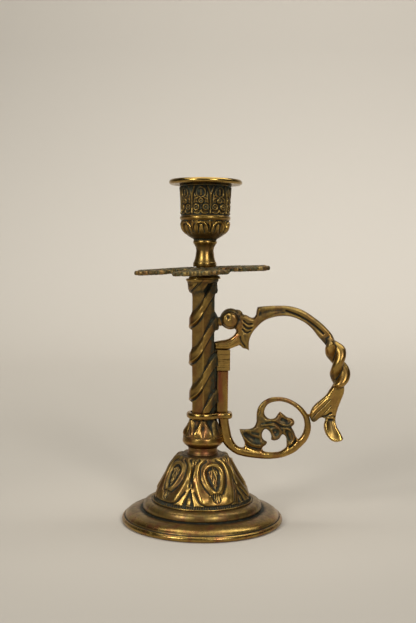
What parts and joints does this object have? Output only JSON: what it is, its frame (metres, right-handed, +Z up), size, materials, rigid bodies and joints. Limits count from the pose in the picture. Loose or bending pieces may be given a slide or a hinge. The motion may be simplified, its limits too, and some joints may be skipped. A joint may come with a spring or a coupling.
{
  "type": "brass candlestick",
  "caption": "Cast brass candlestick with a twisted stem, a leaf-shaped drip pan that turns, a lift-out nozzle and a scrolled finger handle.",
  "frame": {"origin": "centre of the foot's resting ring, on the table plane and the stem axis", "axes": "+Z up along the stem, +X towards the handle, -Y the front"},
  "size_m": [0.1207, 0.086, 0.18],
  "materials": {
    "worn_brass": "handled brass, bright on the high places, brown in the hollows",
    "patinated_brass": "cast brass with dark and faint green patina in the relief",
    "copper_toned_brass": "reddish brass where the tarnish was rubbed off",
    "dark_brass": "heavily tarnished brass with green flecks",
    "polished_brass": "polished brass with fine wear",
    "steel_rod": "dull steel with light rust"
  },
  "bodies": {
    "stand": {"foot_plate": "worn_brass", "foot_bell": "patinated_brass", "neck_collar": "copper_toned_brass", "stem_knop": "patinated_brass", "stem_column": "patinated_brass", "handle_collar": "worn_brass", "handle_scroll": "worn_brass", "handle_ferrule": "copper_toned_brass", "handle_upper": "worn_brass", "beak_pin": "worn_brass", "tail_pin": "worn_brass", "pan_washer": "dark_brass", "candle_socket": "patinated_brass", "tie_rod": "steel_rod", "foot_washer": "steel_rod", "tie_nut": "steel_rod"},
    "pan": {"drip_pan": "dark_brass"},
    "nozzle": {"nozzle": "polished_brass"}
  },
  "joints": [
    {"name": "nozzle_lift", "type": "slide", "parent": "stand", "child": "nozzle", "axis": [0, 0, 1], "range_m": [0, 0.03]},
    {"name": "pan_turn", "type": "hinge", "parent": "stand", "child": "pan", "pos_m": [0, 0, 0.1329], "axis": [-0.0419, 0, 0.9991], "continuous": true}
  ]
}
